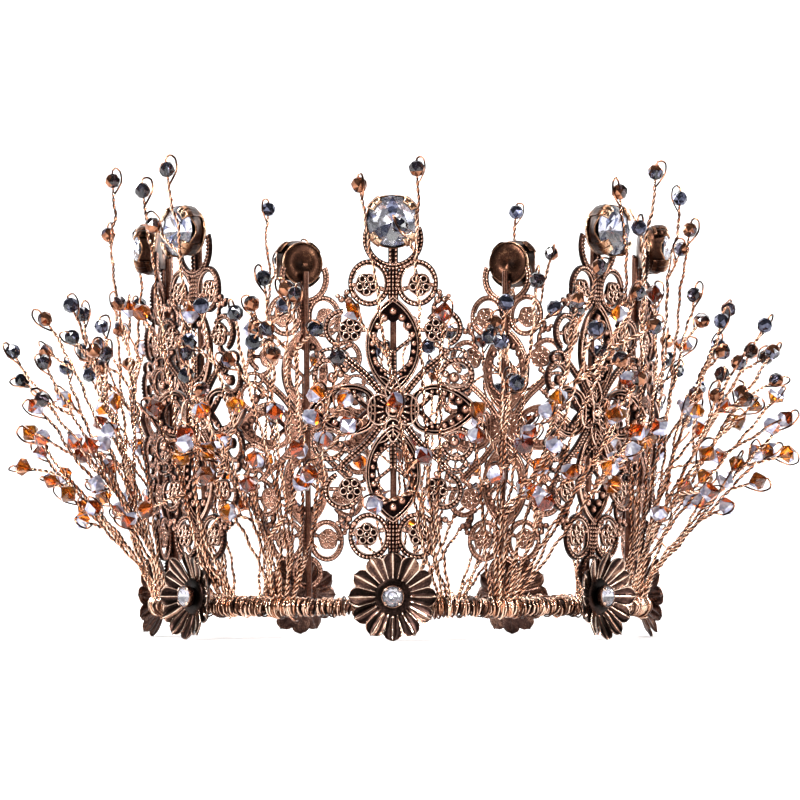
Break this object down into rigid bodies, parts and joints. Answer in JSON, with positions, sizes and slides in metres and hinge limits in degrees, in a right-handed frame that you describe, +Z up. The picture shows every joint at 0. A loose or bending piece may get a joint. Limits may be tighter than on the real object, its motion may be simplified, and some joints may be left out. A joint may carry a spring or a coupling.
{
  "type": "bridal crown",
  "caption": "Standing filigree bridal crown: pierced panels with flowers and claw-set stones on a wire-bound ring, with flared sprays of beaded wire twigs between them.",
  "frame": {"origin": "on the crown's axis, in the plane on which the lowest petals of the flowers stand", "axes": "+Z up along the crown's axis; -Y through the middle of the front panel, panel_1; units 2 to 7 follow anticlockwise seen from above"},
  "size_m": [0.199, 0.1972, 0.1196],
  "materials": {
    "antique_copper": "antiqued copper stamping, near black in the recesses, rubbed bright on the raised rims",
    "copper_wire": "lightly tarnished copper craft wire",
    "crystal": "clear cut glass with a foiled back",
    "bead_glass": "faceted glass, part amber, part smoky blue grey with a metallic coat"
  },
  "bodies": {
    "root": {"ring_wire": "copper_wire", "binding": "copper_wire", "panel_1": "antique_copper", "post_1": "copper_wire", "stone_1": "crystal", "flower_1": "antique_copper", "flower_stone_1": "crystal", "spray_1": "copper_wire", "sprig_1": "copper_wire", "beads_1": "bead_glass", "panel_2": "antique_copper", "post_2": "copper_wire", "stone_2": "crystal", "flower_2": "antique_copper", "flower_stone_2": "crystal", "spray_2": "copper_wire", "sprig_2": "copper_wire", "beads_2": "bead_glass", "panel_3": "antique_copper", "post_3": "copper_wire", "stone_3": "crystal", "flower_3": "antique_copper", "flower_stone_3": "crystal", "spray_3": "copper_wire", "sprig_3": "copper_wire", "beads_3": "bead_glass", "panel_4": "antique_copper", "post_4": "copper_wire", "stone_4": "crystal", "flower_4": "antique_copper", "flower_stone_4": "crystal", "spray_4": "copper_wire", "sprig_4": "copper_wire", "beads_4": "bead_glass", "panel_5": "antique_copper", "post_5": "copper_wire", "stone_5": "crystal", "flower_5": "antique_copper", "flower_stone_5": "crystal", "spray_5": "copper_wire", "sprig_5": "copper_wire", "beads_5": "bead_glass", "panel_6": "antique_copper", "post_6": "copper_wire", "stone_6": "crystal", "flower_6": "antique_copper", "flower_stone_6": "crystal", "spray_6": "copper_wire", "sprig_6": "copper_wire", "beads_6": "bead_glass", "panel_7": "antique_copper", "post_7": "copper_wire", "stone_7": "crystal", "flower_7": "antique_copper", "flower_stone_7": "crystal", "spray_7": "copper_wire", "sprig_7": "copper_wire", "beads_7": "bead_glass"}
  },
  "joints": []
}
